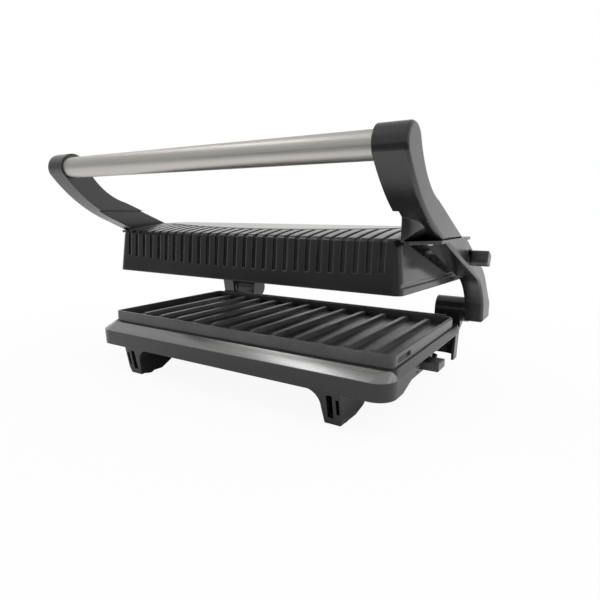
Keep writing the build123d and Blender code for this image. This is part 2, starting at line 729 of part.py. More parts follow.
def upper_housing_shell():
    shell = lid_form(0.0, lid_low)
    top_edges = shell.edges().filter_by(lambda e: e.center().Z > lid_edge_z - 4)
    shell = fillet(top_edges, lid_edge_radius)
    shell = shell - groove_cutters()
    hollow = lid_form(lid_wall, lid_low - 2)
    shell = shell - hollow
    ledge = lid_form(lid_wall - 0.2, lid_low) & block(-far, far, -far, far, upper_back_z, upper_back_z + 2.0)
    ledge = ledge - slab(plate_width - 20, plate_depth - 8, 6.0, 0, far)
    shell = shell + ledge
    for side in (-1, 1):
        x = side * (lid_half_width - side_slot_depth + 5.0)
        low = lid_low + side_slot_low
        shell = shell - Pos(x, 0, low + side_slot_height / 2) * Box(10.0, plate_depth + 4.0, side_slot_height)
        boss_low = lid_half_width - 14.0
        boss_high = lid_half_width - lid_side_draft - 1.0
        boss = pin_x(pivot_radius + 4.0, pivot_shut_y, pivot_shut_z, boss_low, boss_high)
        shell = shell + (boss if side > 0 else left_of(boss))
    hole = pin_x(pivot_radius, pivot_shut_y, pivot_shut_z, lid_half_width - 12.0, far)
    shell = shell - [hole, left_of(hole)]
    roof = lid_form(lid_wall - 0.2, lid_low)
    pillars = [post(4.5, x, y, upper_reflector_low + sheet, far / 4) & roof
               for x, y in corners(stud_x, stud_y)]
    shell = shell + pillars
    shell = shell - (crown_sheet(-panel_thickness + panel_proud, 5.0) & panel_outline(slip / 2))
    shell = shell - [post(screw_radius, x, y, 0, far) for x, y in corners(stud_x, stud_y)]
    shell = shell - [post(screw_head + slip, x, y, roof_low + 3.0, far) for x, y in corners(stud_x, stud_y)]
    return shell - [post(light_radius, x, light_y, lid_edge_z - 10, far) for x in lights_x]


def steel_panel():
    panel = crown_sheet(-panel_thickness + panel_proud, panel_proud) & panel_outline(0.0)
    return panel - [post(light_radius + 0.1, x, light_y, lid_edge_z - 10, far) for x in lights_x]


def pilot_light(x):
    top = lid_crown_z + 0.6
    lens = post(light_radius, x, light_y, top - 9.0, top)
    return chamfer(lens.edges().sort_by(Axis.Z)[-1], light_radius * 0.4)


def lid_pivot():
    pin = pin_x(pivot_radius, pivot_shut_y, pivot_shut_z, lid_half_width - 11.5, arm_outer - 4.0)
    return chamfer(pin.edges().filter_by(GeomType.CIRCLE), 0.6)


def upside_down(piece, z):
    """Turn a plate-down piece over about Y, so what faced down from z faces up from z."""
    return Pos(0, 0, z) * Rot(0, 180, 0) * Pos(0, 0, -z) * piece


upper_width = 2 * (lid_half_width - lid_wall - slip - lid_side_draft * 0.3)
upper_plate = Pos(0, 0, upper_rim_z) * Rot(0, 180, 0) * grill_plate(upper_width)
upper_plate = upper_plate + studs(upper_back_z, upper_reflector_low)
upper_plate = upper_plate - stud_holes(upper_back_z, upper_reflector_low + 1)
upper_screws = Compound([screw(x, y, roof_low + 3.0, upper_back_z + 1.0) for x, y in corners(stud_x, stud_y)])

lid_lift = Pos(0, pivot_y, pivot_z) * Rot(-lid_tilt, 0, 0) * Pos(0, -pivot_shut_y, -pivot_shut_z)

nodes = {
    "base_housing": base_housing,
    "base_bottom_cover": base_bottom_cover,
    "foot_pads": foot_pads,
    "cover_screws": cover_screws,
    "lower_grill_plate": lower_grill_plate,
    "lower_heating_element": lower_heating_element,
    "lower_heat_reflector": lower_heat_reflector,
    "lower_thermostat": lower_thermostat,
    "lower_plate_screws": lower_plate_screws,
    "lower_reflector_screws": lower_reflector_screws,
    "thermal_fuse": thermal_fuse,
    "terminal_block": terminal_block(),
    "cord_gland": cord_gland(),
    "drip_tray": drip_tray(),
    "right_hinge_pin": hinge_pin(),
    "left_hinge_pin": left_of(hinge_pin()),
    "right_hinge_arm": hinge_arm(True),
    "left_hinge_arm": left_of(hinge_arm(False)),
    "right_handle_arm": handle_arm(True),
    "left_handle_arm": left_of(handle_arm(False)),
    "arm_screws": Compound([arm_screw(), left_of(arm_screw())]),
    "handle_tube": handle_tube,
    "lock_slider": lock_slider(),
    "upper_housing": lid_lift * upper_housing_shell(),
    "top_panel": lid_lift * steel_panel(),
    "upper_grill_plate": lid_lift * upper_plate,
    "upper_heating_element": lid_lift * upside_down(heating_element(upper_back_z), upper_back_z),
    "upper_heat_reflector": lid_lift * upside_down(heat_reflector(upper_back_z - stud_drop), upper_back_z),
    "upper_thermostat": lid_lift * upside_down(thermostat(upper_back_z), upper_back_z),
    "upper_plate_screws": lid_lift * upper_screws,
    "right_lid_pivot": lid_lift * lid_pivot(),
    "left_lid_pivot": lid_lift * left_of(lid_pivot()),
    "power_light": lid_lift * pilot_light(lights_x[0]),
    "ready_light": lid_lift * pilot_light(lights_x[1]),
}

row_frame = Pos(-origin_x, -origin_y, 0)
os.makedirs("parts", exist_ok=True)
for name, piece in nodes.items():
    export_step(row_frame * piece, f"parts/{name}.step")
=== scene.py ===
import math

import bmesh
import bpy
from mathutils import Matrix, Vector


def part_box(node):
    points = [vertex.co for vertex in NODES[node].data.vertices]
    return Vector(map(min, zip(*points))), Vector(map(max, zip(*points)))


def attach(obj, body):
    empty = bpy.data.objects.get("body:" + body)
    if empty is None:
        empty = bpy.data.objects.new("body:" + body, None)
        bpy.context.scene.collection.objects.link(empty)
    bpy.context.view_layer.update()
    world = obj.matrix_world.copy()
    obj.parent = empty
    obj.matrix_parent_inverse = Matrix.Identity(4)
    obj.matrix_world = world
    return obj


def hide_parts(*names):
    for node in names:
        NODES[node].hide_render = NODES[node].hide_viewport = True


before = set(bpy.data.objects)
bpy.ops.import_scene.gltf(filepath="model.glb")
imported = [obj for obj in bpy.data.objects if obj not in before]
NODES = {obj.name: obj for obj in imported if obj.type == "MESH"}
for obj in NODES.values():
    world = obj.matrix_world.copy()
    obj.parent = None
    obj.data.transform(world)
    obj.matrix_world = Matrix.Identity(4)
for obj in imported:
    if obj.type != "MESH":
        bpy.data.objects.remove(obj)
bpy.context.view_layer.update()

bl_info = {
    "name": "Panini Press Looks",
    "version": (1, 0, 0),
    "blender": (4, 5, 0),
    "location": "View3D > Sidebar > Press",
    "description": "Finishes, handle bar, screws, lamps and studio for the panini press",
    "category": "Object",
}

BLACK_MOULDINGS = ("base_bottom_cover", "drip_tray", "cord_gland", "lock_slider",
                   "right_hinge_arm", "left_hinge_arm", "right_handle_arm", "left_handle_arm")
PINS_AND_SCREWS = ("lower_plate_screws", "lower_reflector_screws", "upper_plate_screws",
                   "right_hinge_pin", "left_hinge_pin", "right_lid_pivot", "left_lid_pivot")
SHEATHED_PARTS = ("lower_heating_element", "upper_heating_element", "lower_thermostat",
                  "upper_thermostat", "thermal_fuse")

# Colours and shading that stay fixed; lengths in metres
WHITE = (1.0, 1.0, 1.0, 1.0)
RUBBED_PLASTIC = (0.11, 0.11, 0.112)
RUBBED_COAT = (0.2, 0.2, 0.205)
COAT_SPARKLE = (0.24, 0.24, 0.25)
NOISE_LOW, NOISE_HIGH = 0.3, 0.7
# Cosines of the turn at which a softened edge starts to look rubbed, and is rubbed in full
EDGE_START, EDGE_FULL = 0.995, 0.86
GRAIN_DEPTH = 0.0001
GRAIN_STRENGTH = 0.08
BAND_GRAIN_STRENGTH = 0.02
# Painted sheen: how metallic the front band's pale colour is; the band is real, its metallic look stands in for
# a strong lamp's sheen
BAND_SHEEN_METALLIC = 0.9
BAND_SWELL = 0.12
BAND_FADE = 0.0002
LID_EDGE_GAIN = 1.8

# Meshes; lengths in metres, angles in degrees
MERGE_DISTANCE = 1e-6
SMOOTH_ANGLE = 35.0
SCREW_SMOOTH_ANGLE = 50.0
SCREW_SIDES = 24
TUBE_LIP = 0.0004

# Studio; lengths in metres
FLOOR_HALF = 6.0
FLOOR_WHITE_NEAR = 0.93
# Reflections dim the floor over this distance ahead, to the right by this share
DIM_START, DIM_END = 0.18, 0.42
DIM_SLANT = 0.6
# Part along Y of the directions that meet the front wall, and half the height of the walls' soft top
FRONT_WALL = -0.5
WALL_BLEND = 0.2
LIGHT_TARGET = (0.0, 0.0, 0.07)
# Name, place, width and height, setting that holds the power, whether glossy surfaces show it
LIGHTS = (
    ("Right softbox", (1.2, 0.0, 0.75), (1.6, 1.2), "key", False),
    ("Overhead softbox", (0.45, 0.2, 1.0), (1.3, 1.2), "top", False),
    ("Overhead strip", (-0.58, -0.25, 1.0), (0.7, 0.16), "strip", True),
    ("Left softbox", (-1.0, -0.7, 0.6), (1.0, 0.9), "fill", False),
)


# Settings a user would change
class PressFinish(bpy.types.PropertyGroup):
    """Colours and gloss of the press"""
    moulding: bpy.props.FloatVectorProperty(
        name="Moulding", description="Colour of the base, arms and tray", subtype="COLOR", size=3,
        min=0.0, max=1.0, default=(0.015, 0.015, 0.0152))
    lid: bpy.props.FloatVectorProperty(
        name="Lid", description="Colour of the lid cover", subtype="COLOR", size=3,
        min=0.0, max=1.0, default=(0.007, 0.007, 0.0071))
    # Painted sheen: this pale colour, metallic on the front band only, stands in for a strong lamp's sheen on
    # the real band
    band: bpy.props.FloatVectorProperty(
        name="Band", description="Colour of the metallic band along the base's front", subtype="COLOR",
        size=3, min=0.0, max=1.0, default=(0.3, 0.3, 0.298))
    satin: bpy.props.FloatProperty(
        name="Satin Roughness", description="Roughness of the arms, tray and base", subtype="FACTOR",
        min=0.0, max=1.0, default=0.25)
    lid_gloss: bpy.props.FloatProperty(
        name="Lid Roughness", description="Roughness of the lid cover", subtype="FACTOR",
        min=0.0, max=1.0, default=0.17)
    band_gloss: bpy.props.FloatProperty(
        name="Band Roughness", description="Roughness of the metallic band", subtype="FACTOR",
        min=0.0, max=1.0, default=0.2)
    band_roll: bpy.props.FloatProperty(
        name="Band Roll", description="Height by which the band rolls over towards its crease",
        subtype="DISTANCE", unit="LENGTH", min=0.0, max=0.01, default=0.005)
    band_low: bpy.props.FloatProperty(
        name="Band Low", description="Height of the crease below the metallic band", subtype="DISTANCE",
        unit="LENGTH", min=0.0, default=0.0329)
    band_high: bpy.props.FloatProperty(
        name="Band High", description="Height of the metallic band's upper edge", subtype="DISTANCE",
        unit="LENGTH", min=0.0, default=0.037)
    band_end: bpy.props.FloatProperty(
        name="Band End", description="How far in front of the middle the band ends at the corners",
        subtype="DISTANCE", unit="LENGTH", min=0.0, default=0.0705)
    coating: bpy.props.FloatVectorProperty(
        name="Coating", description="Colour of the non-stick coat on the plates", subtype="COLOR", size=3,
        min=0.0, max=1.0, default=(0.07, 0.07, 0.072))
    tube: bpy.props.FloatVectorProperty(
        name="Handle Steel", description="Colour of the brushed handle bar", subtype="COLOR", size=3,
        min=0.0, max=1.0, default=(0.61, 0.59, 0.555))
    panel: bpy.props.FloatVectorProperty(
        name="Panel Steel", description="Colour of the brushed sheet on the lid", subtype="COLOR", size=3,
        min=0.0, max=1.0, default=(0.66, 0.66, 0.65))
    edge_radius: bpy.props.FloatProperty(
        name="Edge Radius", description="Radius by which moulded edges look softened", subtype="DISTANCE",
        unit="LENGTH", min=0.0, max=0.003, default=0.0007)


class PressHandle(bpy.types.PropertyGroup):
    """Handle bar and screw heads"""
    wall: bpy.props.FloatProperty(
        name="Tube Wall", description="Wall of the handle tube", subtype="DISTANCE", unit="LENGTH",
        min=0.0005, max=0.004, default=0.0012)
    sides: bpy.props.IntProperty(
        name="Sides", description="Facets around the handle tube", min=24, max=256, default=128)
    screw_head: bpy.props.FloatProperty(
        name="Screw Head", description="Height of a screw's rounded head", subtype="DISTANCE", unit="LENGTH",
        min=0.0005, max=0.004, default=0.0016)
    screw_shank: bpy.props.FloatProperty(
        name="Screw Shank", description="Radius of a screw's shank", subtype="DISTANCE", unit="LENGTH",
        min=0.0005, max=0.004, default=0.0014)
    cross: bpy.props.FloatProperty(
        name="Driver Cross", description="Half length of the cross in a screw head", subtype="DISTANCE",
        unit="LENGTH", min=0.0005, max=0.004, default=0.0015)


class PressStage(bpy.types.PropertyGroup):
    """Floor, light and camera"""
    floor: bpy.props.FloatVectorProperty(
        name="Floor", description="Colour of the studio floor", subtype="COLOR", size=3,
        min=0.0, max=1.0, default=(0.92, 0.92, 0.92))
    key: bpy.props.FloatProperty(
        name="Key", description="Power of the large soft light at the right", unit="POWER", min=0.0,
        default=4.5)
    top: bpy.props.FloatProperty(
        name="Top", description="Power of the overhead soft light", unit="POWER", min=0.0, default=4.0)
    strip: bpy.props.FloatProperty(
        name="Strip", description="Power of the narrow overhead light", unit="POWER", min=0.0, default=1.15)
    fill: bpy.props.FloatProperty(
        name="Fill", description="Power of the soft light at the left front", unit="POWER", min=0.0,
        default=2.5)
    sky: bpy.props.FloatProperty(
        name="Sky", description="Strength of the even light all round", min=0.0, max=4.0, default=0.55)
    wall_top: bpy.props.FloatProperty(
        name="Wall Top", subtype="FACTOR", min=0.0, max=1.0, default=0.55,
        description="Height, as the sine of its angle, up to which reflections show white walls")
    ceiling: bpy.props.FloatProperty(
        name="Ceiling", description="Brightness of the ceiling in reflections", subtype="FACTOR",
        min=0.0, max=1.0, default=0.6)
    dim_floor: bpy.props.FloatProperty(
        name="Dim Floor", description="How much darker the floor in front of the press is in reflections",
        subtype="FACTOR", min=0.0, max=1.0, default=0.85)
    dim_wall: bpy.props.FloatProperty(
        name="Dim Wall", description="How much darker the wall in front of the press is in reflections",
        subtype="FACTOR", min=0.0, max=1.0, default=0.5)
    shadow_near: bpy.props.FloatProperty(
        name="Shadow Near", description="Distance at which the floor starts to turn plain white",
        subtype="DISTANCE", unit="LENGTH", min=0.0, default=0.18)
    shadow_far: bpy.props.FloatProperty(
        name="Shadow Far", description="Distance from which the floor is plain white", subtype="DISTANCE",
        unit="LENGTH", min=0.0, default=0.5)
    mirror_near: bpy.props.FloatProperty(
        name="Mirror Near", subtype="DISTANCE", unit="LENGTH", min=0.0, default=0.1,
        description="Distance up to which reflections show the floor with the press's shadow")
    mirror_far: bpy.props.FloatProperty(
        name="Mirror Far", description="Distance from which reflections show a plain white floor",
        subtype="DISTANCE", unit="LENGTH", min=0.0, default=0.2)
    lens: bpy.props.FloatProperty(
        name="Lens", description="Focal length on a 36 mm sensor", subtype="DISTANCE_CAMERA", min=10.0,
        max=200.0, default=28.856)
    camera: bpy.props.FloatVectorProperty(
        name="Camera", description="Place of the camera", subtype="TRANSLATION", unit="LENGTH", size=3,
        default=(0.19957, -0.30907, 0.12056))
    turn: bpy.props.FloatProperty(
        name="Turn", description="Turn of the camera to the left of straight ahead", subtype="ANGLE",
        default=math.radians(31.9))
    dip: bpy.props.FloatProperty(
        name="Dip", description="Tilt of the camera below level", subtype="ANGLE",
        default=math.radians(10.09))
    roll: bpy.props.FloatProperty(
        name="Roll", description="Roll of the camera", subtype="ANGLE", default=math.radians(0.36))


# Shader building blocks
def add(tree, kind, **values):
    """New node; keyword values are sockets by name, or settings where the node has no such socket."""
    node = tree.nodes.new(kind)
    for name, value in values.items():
        socket = name.replace("_", " ").title()
        if socket in node.inputs:
            put(tree, node.inputs[socket], value)
        else:
            setattr(node, name, value)
    return node


def put(tree, socket, value):
    """Link an output socket, or set a plain value."""
    if isinstance(value, bpy.types.NodeSocket):
        tree.links.new(value, socket)
    else:
        socket.default_value = value


def maths(tree, operation, first, second):
    node = tree.nodes.new("ShaderNodeMath")
    node.operation = operation
    put(tree, node.inputs[0], first)
    put(tree, node.inputs[1], second)
    return node.outputs[0]


def remap(tree, value, low, high, to_low, to_high, smooth=True):
    node = tree.nodes.new("ShaderNodeMapRange")
    node.interpolation_type = "SMOOTHSTEP" if smooth else "LINEAR"
    for socket, setting in zip(node.inputs[:5], (value, low, high, to_low, to_high)):
        put(tree, socket, setting)
    return node.outputs[0]


def blend_colours(tree, factor, first, second):
    node = tree.nodes.new("ShaderNodeMix")
    node.data_type = "RGBA"
    put(tree, node.inputs[0], factor)
    put(tree, node.inputs[6], first)
    put(tree, node.inputs[7], second)
    return node.outputs[2]


def spread(tree, value, low, high):
    """Stretch noise, which keeps to the middle of its range, over low to high."""
    return remap(tree, value, NOISE_LOW, NOISE_HIGH, low, high)


def object_place(tree):
    return tree.nodes.new("ShaderNodeTexCoord").outputs["Object"]


def noise(tree, place, scale, detail=2.0, roughness=0.5):
    return add(tree, "ShaderNodeTexNoise", vector=place, scale=scale, detail=detail,
               roughness=roughness).outputs["Fac"]


def rgba(colour, gain=1.0):
    return (colour[0] * gain, colour[1] * gain, colour[2] * gain, 1.0)


def shades(tree, tone, colour, dark, pale):
    """One colour that tone varies between a darker and a paler shade."""
    return blend_colours(tree, tone, rgba(colour, dark), rgba(colour, pale))


def mix_shaders(tree, factor, first, second):
    node = tree.nodes.new("ShaderNodeMixShader")
    for socket, value in zip(node.inputs, (factor, first, second)):
        put(tree, socket, value)
    return node.outputs[0]


def new_group(name, inputs, outputs):
    group = bpy.data.node_groups.new(name, "ShaderNodeTree")
    for socket, kind, default in inputs:
        made = group.interface.new_socket(name=socket, in_out="INPUT", socket_type=kind)
        made.default_value = default
    for socket, kind in outputs:
        group.interface.new_socket(name=socket, in_out="OUTPUT", socket_type=kind)
    return group, group.nodes.new("NodeGroupInput").outputs, group.nodes.new("NodeGroupOutput").inputs


def moulded_grain():
    """Fine spark-eroded grain with faint flow marks, for moulded plastic and rubber."""
    if "Moulded Grain" in bpy.data.node_groups:
        return bpy.data.node_groups["Moulded Grain"]
    group, given, result = new_group(
        "Moulded Grain",
        [("Grain", "NodeSocketFloat", 1600.0), ("Flow", "NodeSocketFloat", 28.0)],
        [("Tone", "NodeSocketFloat"), ("Smoothness", "NodeSocketFloat"), ("Height", "NodeSocketFloat")])
    place = object_place(group)
    grain = noise(group, place, given["Grain"], detail=3.0, roughness=0.6)
    flow = noise(group, place, given["Flow"], detail=3.0, roughness=0.55)
    put(group, result["Tone"], spread(group, flow, 0.0, 1.0))
    shine = maths(group, "MULTIPLY", flow, 0.7)
    put(group, result["Smoothness"], maths(group, "ADD", shine, maths(group, "MULTIPLY", grain, 0.3)))
    put(group, result["Height"], grain)
    return group


def edge_wear():
    """Mask of convex edges that hands and cleaning have polished, broken up by noise."""
    if "Edge Wear" in bpy.data.node_groups:
        return bpy.data.node_groups["Edge Wear"]
    group, given, result = new_group(
        "Edge Wear",
        [("Radius", "NodeSocketFloat", 0.0008), ("Patches", "NodeSocketFloat", 90.0)],
        [("Mask", "NodeSocketFloat"), ("Normal", "NodeSocketVector")])
    soft = group.nodes.new("ShaderNodeBevel")
    soft.samples = 6
    put(group, soft.inputs["Radius"], given["Radius"])
    flat = group.nodes.new("ShaderNodeNewGeometry").outputs["Normal"]
    turn = group.nodes.new("ShaderNodeVectorMath")
    turn.operation = "DOT_PRODUCT"
    put(group, turn.inputs[0], soft.outputs["Normal"])
    put(group, turn.inputs[1], flat)
    bent = remap(group, turn.outputs["Value"], EDGE_START, EDGE_FULL, 0.0, 1.0)
    place = object_place(group)
    clouds = noise(group, place, given["Patches"], detail=4.0, roughness=0.6)
    patches = remap(group, clouds, 0.36, 0.64, 0.35, 1.0)
    put(group, result["Mask"], maths(group, "MULTIPLY", bent, patches))
    put(group, result["Normal"], soft.outputs["Normal"])
    return group


def brushed_lines():
    """Fine lines with soft broad streaks; they run along the axes on which Stretch is small."""
    if "Brushed Lines" in bpy.data.node_groups:
        return bpy.data.node_groups["Brushed Lines"]
    group, given, result = new_group(
        "Brushed Lines",
        [("Lines", "NodeSocketFloat", 2600.0), ("Streaks", "NodeSocketFloat", 260.0),
         ("Stretch", "NodeSocketVector", (0.012, 1.0, 1.0))],
        [("Tone", "NodeSocketFloat"), ("Roughness", "NodeSocketFloat"), ("Height", "NodeSocketFloat")])
    place = object_place(group)
    along = add(group, "ShaderNodeMapping", vector=place, scale=given["Stretch"]).outputs[0]
    fine = noise(group, along, given["Lines"], detail=3.0, roughness=0.6)
    broad = noise(group, along, given["Streaks"])
    both = maths(group, "ADD", maths(group, "MULTIPLY", fine, 0.65), maths(group, "MULTIPLY", broad, 0.35))
    put(group, result["Tone"], spread(group, both, 0.0, 1.0))
    put(group, result["Roughness"], remap(group, fine, 0.25, 0.75, 0.22, 0.4))
    put(group, result["Height"], both)
    return group


def start_material(name):
    material = bpy.data.materials.new(name)
    material.use_nodes = True
    shader = material.node_tree.nodes["Principled BSDF"]
    return material, material.node_tree, shader


def use_group(tree, group, **values):
    node = tree.nodes.new("ShaderNodeGroup")
    node.node_tree = group
    for name, value in values.items():
        put(tree, node.inputs[name.replace("_", " ").title()], value)
    return node.outputs


def bumped(tree, shader, height, strength, distance, normal=None):
    bump = add(tree, "ShaderNodeBump", height=height, strength=strength, distance=distance)
    if normal is not None:
        put(tree, bump.inputs["Normal"], normal)
    put(tree, shader.inputs["Normal"], bump.outputs["Normal"])


def satin_black(name, finish, tone, roughness, shine, edge_radius, banded=False):
    """Satin black plastic; banded adds the slightly rolled band along the front, in a pale metallic colour that
    is painted sheen.
    """
    material, tree, shader = start_material(name)
    skin = use_group(tree, moulded_grain(), grain=1600.0, flow=26.0)
    worn = use_group(tree, edge_wear(), radius=edge_radius, patches=80.0)
    colour = shades(tree, skin["Tone"], tone, 0.82, 1.2)
    rubbed = maths(tree, "MULTIPLY", worn["Mask"], 0.35)
    colour = blend_colours(tree, rubbed, colour, rgba(RUBBED_PLASTIC))
    gloss = spread(tree, skin["Smoothness"], roughness - 0.05, roughness + 0.06)
    normal = worn["Normal"]
    strength = GRAIN_STRENGTH
    if banded:
        band, roll = band_roll(tree, finish)
        streaks = use_group(tree, brushed_lines(), lines=3200.0, streaks=900.0, stretch=(0.012, 0.012, 1.0))
        # Painted sheen: the band along the front takes a pale metallic colour in place of a strong lamp's sheen
        painted_sheen = shades(tree, streaks["Tone"], finish.band, 0.9, 1.07)
        colour = blend_colours(tree, band, colour, painted_sheen)
        put(tree, shader.inputs["Metallic"], maths(tree, "MULTIPLY", band, BAND_SHEEN_METALLIC))
        matt = maths(tree, "MULTIPLY", gloss, maths(tree, "SUBTRACT", 1.0, band))
        gloss = maths(tree, "ADD", matt, maths(tree, "MULTIPLY", band, finish.band_gloss))
        strength = remap(tree, band, 0.0, 1.0, GRAIN_STRENGTH, BAND_GRAIN_STRENGTH, smooth=False)
        rolled = add(tree, "ShaderNodeBump", height=roll, strength=band, distance=finish.band_roll)
        put(tree, rolled.inputs["Normal"], normal)
        normal = rolled.outputs["Normal"]
    put(tree, shader.inputs["Base Color"], colour)
    shader.inputs["Specular IOR Level"].default_value = shine
    polish = maths(tree, "MULTIPLY", worn["Mask"], 0.06)
    put(tree, shader.inputs["Roughness"], maths(tree, "SUBTRACT", gloss, polish))
    bumped(tree, shader, skin["Height"], strength, GRAIN_DEPTH, normal)
    return material


def band_roll(tree, finish):
    """Mask of the band along the front, and the height of its surface over the flat slope."""
    place = object_place(tree)
    spot = add(tree, "ShaderNodeSeparateXYZ", vector=place).outputs
    height = spot["Z"]
    low, high, end = finish.band_low, finish.band_high, -finish.band_end
    above = remap(tree, height, low - 2 * BAND_FADE, low + BAND_FADE, 0.0, 1.0)
    below = remap(tree, height, high - BAND_FADE, high + BAND_FADE / 2, 1.0, 0.0)
    # The painted sheen stops at the front corners; the band's sides and back stay plain black
    front = remap(tree, spot["Y"], end - 3 * BAND_FADE, end, 1.0, 0.0)
    rise = remap(tree, height, low, high, 0.0, 1.0, smooth=False)
    arch = maths(tree, "MULTIPLY", rise, maths(tree, "SUBTRACT", 1.0, rise))
    swell = maths(tree, "MULTIPLY", arch, BAND_SWELL)
    mask = maths(tree, "MULTIPLY", maths(tree, "MULTIPLY", above, below), front)
    return mask, maths(tree, "ADD", rise, swell)


def nonstick(name, finish):
    """Dark sprayed coat with a fine sparkle, rubbed paler along the rib tops."""
    material, tree, shader = start_material(name)
    skin = use_group(tree, moulded_grain(), grain=2400.0, flow=40.0)
    worn = use_group(tree, edge_wear(), radius=finish.edge_radius, patches=60.0)
    place = object_place(tree)
    speck = add(tree, "ShaderNodeTexVoronoi", vector=place, scale=1500.0).outputs["Distance"]
    sparkle = remap(tree, speck, 0.05, 0.2, 1.0, 0.0)
    colour = shades(tree, skin["Tone"], finish.coating, 0.8, 1.25)
    colour = blend_colours(tree, maths(tree, "MULTIPLY", sparkle, 0.25), colour, rgba(COAT_SPARKLE))
    colour = blend_colours(tree, maths(tree, "MULTIPLY", worn["Mask"], 0.4), colour, rgba(RUBBED_COAT))
    put(tree, shader.inputs["Base Color"], colour)
    put(tree, shader.inputs["Roughness"], spread(tree, skin["Smoothness"], 0.26, 0.38))
    bumped(tree, shader, skin["Height"], strength=0.2, distance=GRAIN_DEPTH, normal=worn["Normal"])
    return material


def brushed_steel(name, colour, lines, anisotropy, coarser):
    """Steel brushed along its length; coarser adds to the roughness of the lines."""
    material, tree, shader = start_material(name)
    brush = use_group(tree, brushed_lines(), lines=lines, streaks=lines / 10.0)
    put(tree, shader.inputs["Base Color"], shades(tree, brush["Tone"], colour, 0.86, 1.12))
    put(tree, shader.inputs["Roughness"], maths(tree, "ADD", brush["Roughness"], coarser))
    shader.inputs["Metallic"].default_value = 1.0
    shader.inputs["Anisotropic"].default_value = anisotropy
    bumped(tree, shader, brush["Height"], strength=0.12, distance=0.00005)
    return material


def plain_metal(name, dark, light, roughness, scale):
    """Bare metal with a cloudy tarnish."""
    material, tree, shader = start_material(name)
    skin = use_group(tree, moulded_grain(), grain=900.0, flow=scale)
    put(tree, shader.inputs["Base Color"], blend_colours(tree, skin["Tone"], rgba(dark), rgba(light)))
    put(tree, shader.inputs["Roughness"], spread(tree, skin["Smoothness"], roughness - 0.06, roughness + 0.08))
    shader.inputs["Metallic"].default_value = 1.0
    bumped(tree, shader, skin["Height"], strength=0.08, distance=0.00008)
    return material


def soft_solid(name, dark, light, roughness, grain):
    """Rubber or heat-proof moulding."""
    material, tree, shader = start_material(name)
    skin = use_group(tree, moulded_grain(), grain=grain, flow=60.0)
    put(tree, shader.inputs["Base Color"], blend_colours(tree, skin["Tone"], rgba(dark), rgba(light)))
    put(tree, shader.inputs["Roughness"], spread(tree, skin["Smoothness"], roughness - 0.08, roughness + 0.08))
    bumped(tree, shader, skin["Height"], strength=0.3, distance=0.00015)
    return material


def lamp_lens(name, deep, pale):
    """Tinted clear plastic of a pilot light."""
    material, tree, shader = start_material(name)
    place = object_place(tree)
    ripple = noise(tree, place, 1200.0, detail=1.0)
    put(tree, shader.inputs["Base Color"], blend_colours(tree, ripple, rgba(deep), rgba(pale)))
    put(tree, shader.inputs["Roughness"], spread(tree, ripple, 0.08, 0.16))
    shader.inputs["Coat Weight"].default_value = 0.5
    bumped(tree, shader, ripple, strength=0.1, distance=GRAIN_DEPTH)
    return material


def dress(names, material):
    for name in names:
        mesh = NODES[name].data
        mesh.materials.clear()
        mesh.materials.append(material)


# Mesh helpers
def finish_piece(shape, name, material, body, replaced, smooth_angle=SMOOTH_ANGLE):
    """Turn a bmesh into a piece that rides on a body and stands for a frame node."""
    bmesh.ops.remove_doubles(shape, verts=shape.verts, dist=MERGE_DISTANCE)
    bmesh.ops.recalc_face_normals(shape, faces=shape.faces)
    mesh = bpy.data.meshes.new(name)
    for face in shape.faces:
        face.smooth = True
    for edge in shape.edges:
        if len(edge.link_faces) == 2:
            edge.smooth = edge.calc_face_angle() < math.radians(smooth_angle)
    shape.to_mesh(mesh)
    shape.free()
    piece = bpy.data.objects.new(name, mesh)
    bpy.context.scene.collection.objects.link(piece)
    mesh.materials.append(material)
    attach(piece, body)
    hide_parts(replaced)


def turn_profile(shape, points, centre, axis, steps):
    """Spin a short profile of points around an axis through centre."""
    verts = [shape.verts.new(point) for point in points]
    edges = [shape.edges.new(pair) for pair in zip(verts, verts[1:])]
    bmesh.ops.spin(shape, geom=verts + edges, cent=centre, axis=axis, angle=math.tau, steps=steps,
                   use_merge=True)


class PRESS_OT_mouldings(bpy.types.Operator):
    """Give the base, arms, tray, slider and lid cover their satin black finish"""
    bl_idname = "press.mouldings"
    bl_label = "Black Mouldings"

    def execute(self, context):
        finish = context.scene.press_finish
        edge = finish.edge_radius
        dress(BLACK_MOULDINGS, satin_black(
            "Satin black moulding", finish, finish.moulding, finish.satin, shine=0.8, edge_radius=edge))
        dress(("base_housing",), satin_black(
            "Base moulding with band", finish, finish.moulding, finish.satin, shine=0.55, edge_radius=edge,
            banded=True))
        dress(("upper_housing",), satin_black(
            "Lid moulding", finish, finish.lid, finish.lid_gloss, shine=0.5, edge_radius=edge * LID_EDGE_GAIN))
        return {"FINISHED"}


class PRESS_OT_grill_plates(bpy.types.Operator):
    """Give both cooking plates their dark sprayed coat"""
    bl_idname = "press.grill_plates"
    bl_label = "Grill Plates"

    def execute(self, context):
        coat = nonstick("Non-stick coat", context.scene.press_finish)
        dress(("lower_grill_plate", "upper_grill_plate"), coat)
        return {"FINISHED"}


class PRESS_OT_handle_bar(bpy.types.Operator):
    """Make the brushed handle tube with rounded ends"""
    bl_idname = "press.handle_bar"
    bl_label = "Handle Bar"

    def execute(self, context):
        settings = context.scene.press_handle
        low, high = (Vector(corner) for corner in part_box("handle_tube"))
        middle = (low + high) / 2
        radius = (high.z - low.z) / 2
        inner = radius - settings.wall
        shape = bmesh.new()
        rings = [(low.x, inner), (low.x, radius - TUBE_LIP), (low.x + TUBE_LIP, radius),
                 (high.x - TUBE_LIP, radius), (high.x, radius - TUBE_LIP), (high.x, inner), (low.x, inner)]
        points = [(x, middle.y, middle.z + reach) for x, reach in rings]
        turn_profile(shape, points, middle, (1, 0, 0), settings.sides)
        steel = brushed_steel("Brushed handle steel", context.scene.press_finish.tube, lines=2600.0,
                              anisotropy=0.35, coarser=0.14)
        finish_piece(shape, "handle_bar", steel, "arms", "handle_tube")
        return {"FINISHED"}


